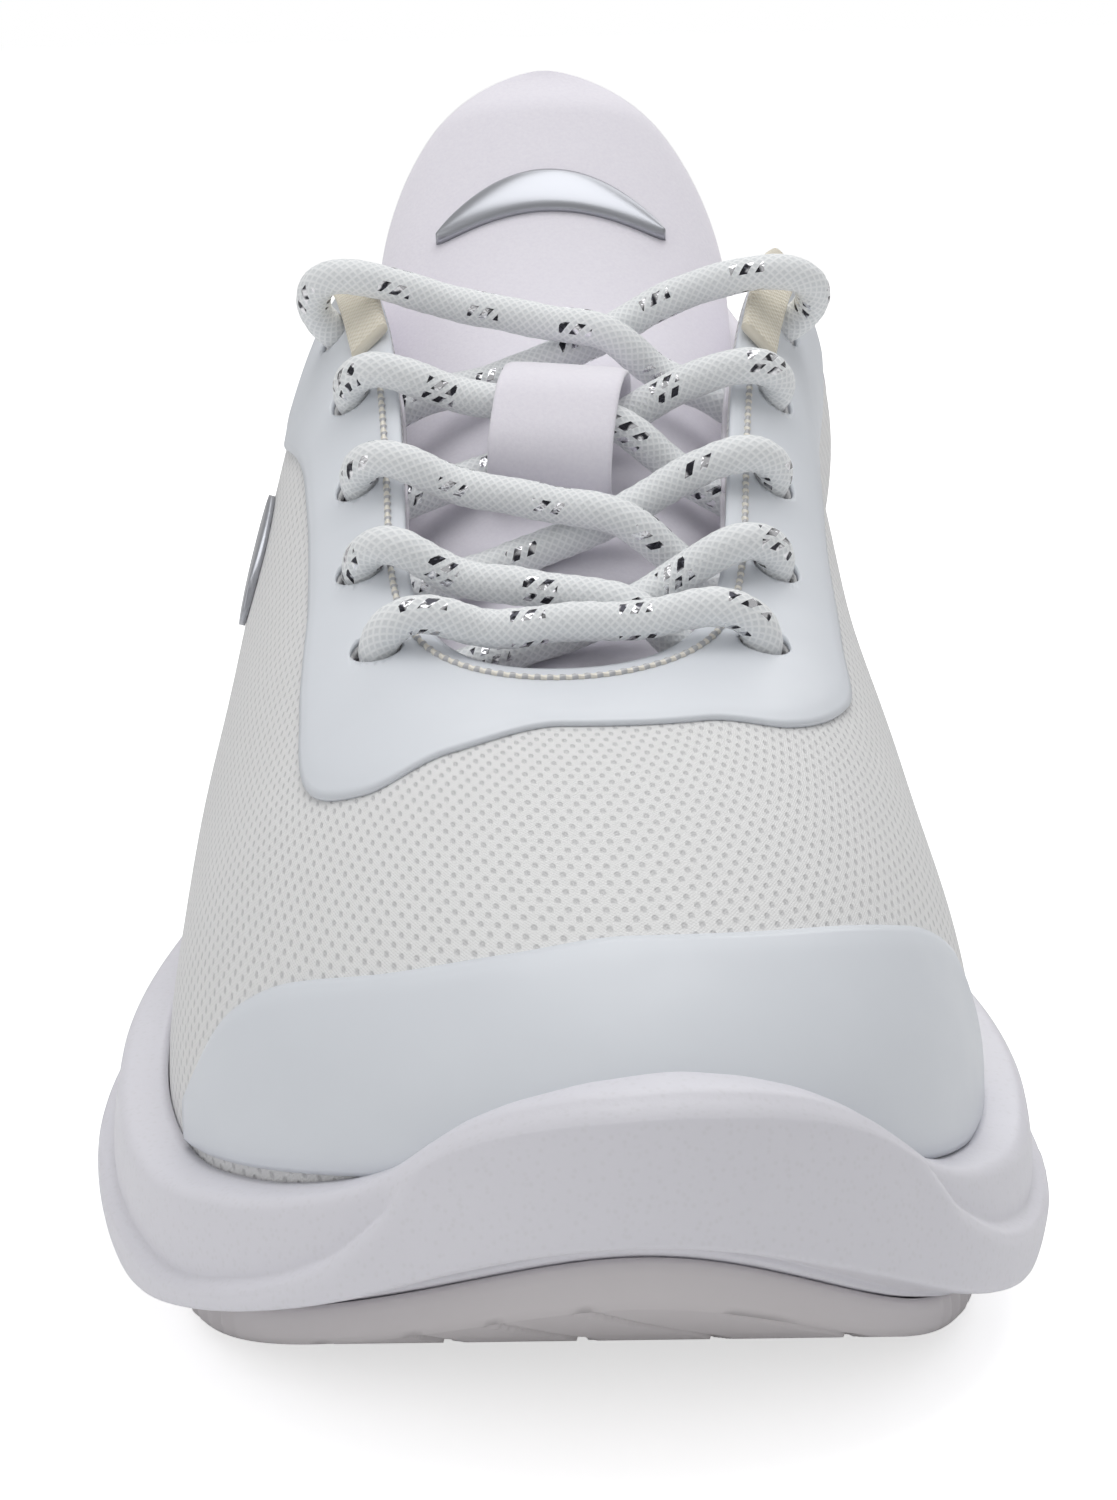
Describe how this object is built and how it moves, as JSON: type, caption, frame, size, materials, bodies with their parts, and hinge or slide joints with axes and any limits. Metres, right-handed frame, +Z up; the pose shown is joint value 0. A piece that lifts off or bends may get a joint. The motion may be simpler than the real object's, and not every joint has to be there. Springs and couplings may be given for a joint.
{
  "type": "cheer shoe",
  "caption": "Low-cut white lace-up cheer trainer for the right foot, with a knit upper, padded tongue, laced eyestay and a foam sole with a toe bumper.",
  "frame": {"origin": "on the ground under the instep, on the flat of the outsole", "axes": "+Z up, toe towards -Y, inner (medial) side towards +X"},
  "size_m": [0.0998, 0.265, 0.121],
  "materials": {
    "outsole_rubber": "matt moulded rubber",
    "midsole_foam": "satin moulded foam, faint lavender white",
    "board_fibre": "pressed fibre board",
    "sockliner_foam": "fabric-faced foam",
    "knit_mesh": "open knit with small staggered holes",
    "film": "smooth satin film, cool white",
    "silver": "satin silver transfer",
    "stiffener": "thermoplastic sheet",
    "lining_cloth": "brushed lining cloth",
    "padding_foam": "soft open-cell foam",
    "microfibre": "smooth lavender-white microfibre",
    "braid": "round white braid with metallic flecks",
    "webbing": "cream webbing",
    "thread": "twisted silver and cream cord",
    "clear_tip": "clear plastic tip"
  },
  "bodies": {
    "shoe": {"outsole": "outsole_rubber", "midsole": "midsole_foam", "strobel_board": "board_fibre", "mesh_upper": "knit_mesh", "eyestay_overlay": "film", "toe_overlay": "film", "heel_overlay": "film", "side_emblem": "silver", "eyestay_backer": "stiffener", "toe_puff": "stiffener", "heel_counter": "stiffener", "vamp_lining": "lining_cloth", "quarter_lining_medial": "lining_cloth", "quarter_lining_lateral": "lining_cloth", "heel_lining": "lining_cloth", "collar_foam": "padding_foam", "collar_lining": "lining_cloth", "throat_stitching": "thread", "lace": "braid", "lace_aglets": "clear_tip", "lace_loop_medial": "webbing", "lace_loop_lateral": "webbing"},
    "tongue": {"tongue_face": "microfibre", "tongue_foam": "padding_foam", "tongue_lining": "lining_cloth", "tongue_emblem": "silver", "lace_keeper": "microfibre"},
    "sockliner_insert": {"sockliner": "sockliner_foam"},
    "heel_loop": {"heel_pull_loop": "webbing"}
  },
  "joints": [
    {"name": "tongue_tilt", "type": "hinge", "parent": "shoe", "child": "tongue", "pos_m": [0, -0.06, 0.054], "axis": [-1, 0, 0], "range_deg": [0, 10], "deforming": ["lace"]},
    {"name": "sockliner_lift", "type": "hinge", "parent": "shoe", "child": "sockliner_insert", "pos_m": [0.008, -0.1126, 0.026], "axis": [1, 0, 0], "range_deg": [0, 5]},
    {"name": "heel_loop_swing", "type": "hinge", "parent": "shoe", "child": "heel_loop", "pos_m": [0, 0.1366, 0.0914], "axis": [1, 0, 0], "range_deg": [-75, 25]}
  ]
}
